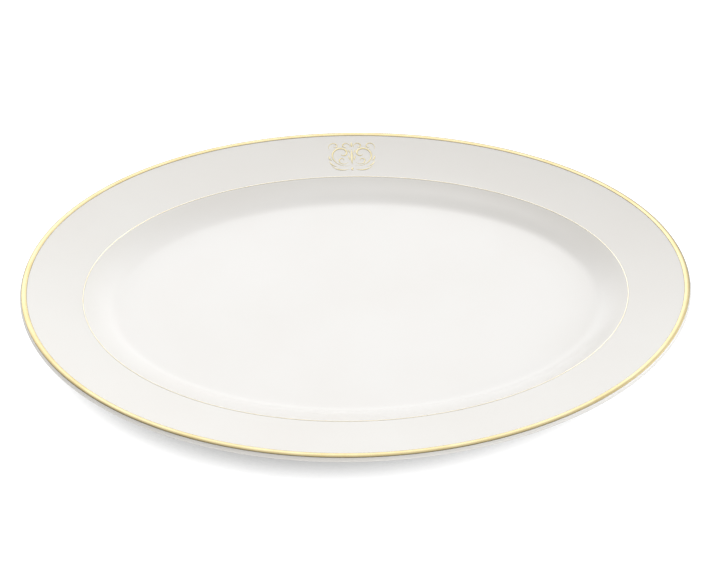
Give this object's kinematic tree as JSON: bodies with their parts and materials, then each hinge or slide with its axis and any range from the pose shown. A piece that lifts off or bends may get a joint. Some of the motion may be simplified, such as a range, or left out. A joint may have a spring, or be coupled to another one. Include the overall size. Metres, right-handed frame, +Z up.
{
  "type": "oval serving platter",
  "caption": "Large oval bone-china serving platter with a broad sloping rim, a flat well, a foot ring and burnished gold edging.",
  "frame": {"origin": "centre of the foot ring's bearing face, on the surface that the platter stands on", "axes": "+X along the platter's length, +Y across it towards the side with the gold emblem, +Z up"},
  "size_m": [0.4086, 0.304, 0.0234],
  "materials": {
    "bisque": "fine matt bone-china body, bare on the foot's bearing edge",
    "glaze": "clear high-gloss glaze over warm white china",
    "gold": "burnished fired-on gold, slightly rubbed",
    "print": "fired-on print under the base"
  },
  "bodies": {
    "root": {"china_body": "bisque", "glaze_coat": "glaze", "base_glaze": "glaze", "gold_edge_band": "gold", "gold_verge_line": "gold", "gold_rim_emblem": "gold", "backstamp": "print"}
  },
  "joints": []
}
